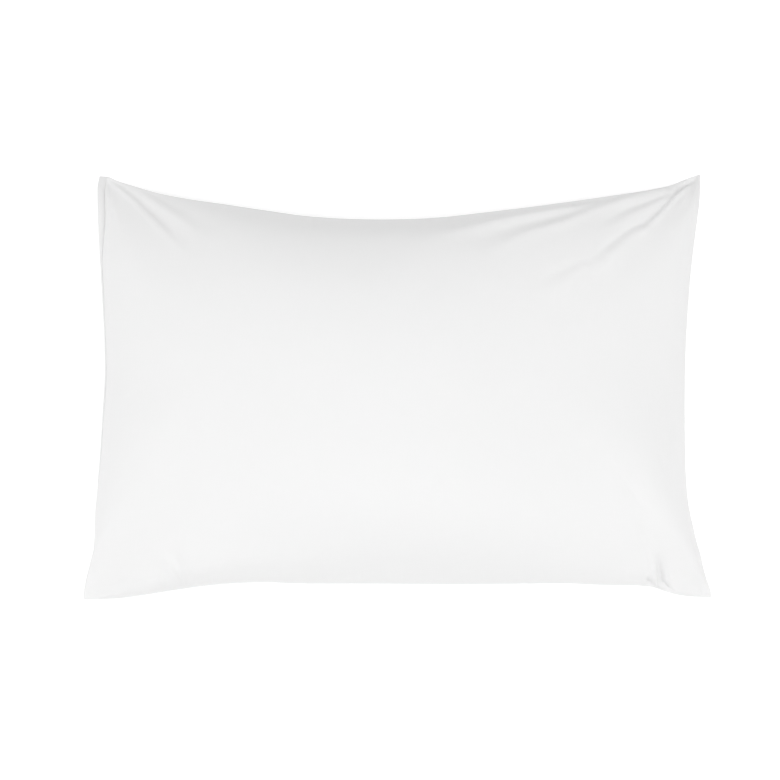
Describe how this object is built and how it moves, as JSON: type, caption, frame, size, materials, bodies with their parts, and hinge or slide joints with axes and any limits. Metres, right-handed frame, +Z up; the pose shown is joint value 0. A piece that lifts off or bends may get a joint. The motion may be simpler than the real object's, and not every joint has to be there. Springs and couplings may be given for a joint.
{
  "type": "filled pillowcase",
  "caption": "Plain white pillowcase, filled and lying on its back, with a plump crown, drawn-in sides and flat creased corners.",
  "frame": {"origin": "middle of the body's box in plan, on the surface it lies on", "axes": "+X along the long side, from the open end to the closed end; +Y across the width, towards the more drawn-in long side; +Z up through the front panel's crown"},
  "size_m": [0.714, 0.496, 0.1562],
  "materials": {
    "white_cotton": "matt, fine plain weave"
  },
  "bodies": {
    "root": {"pillowcase": "white_cotton"}
  },
  "joints": []
}
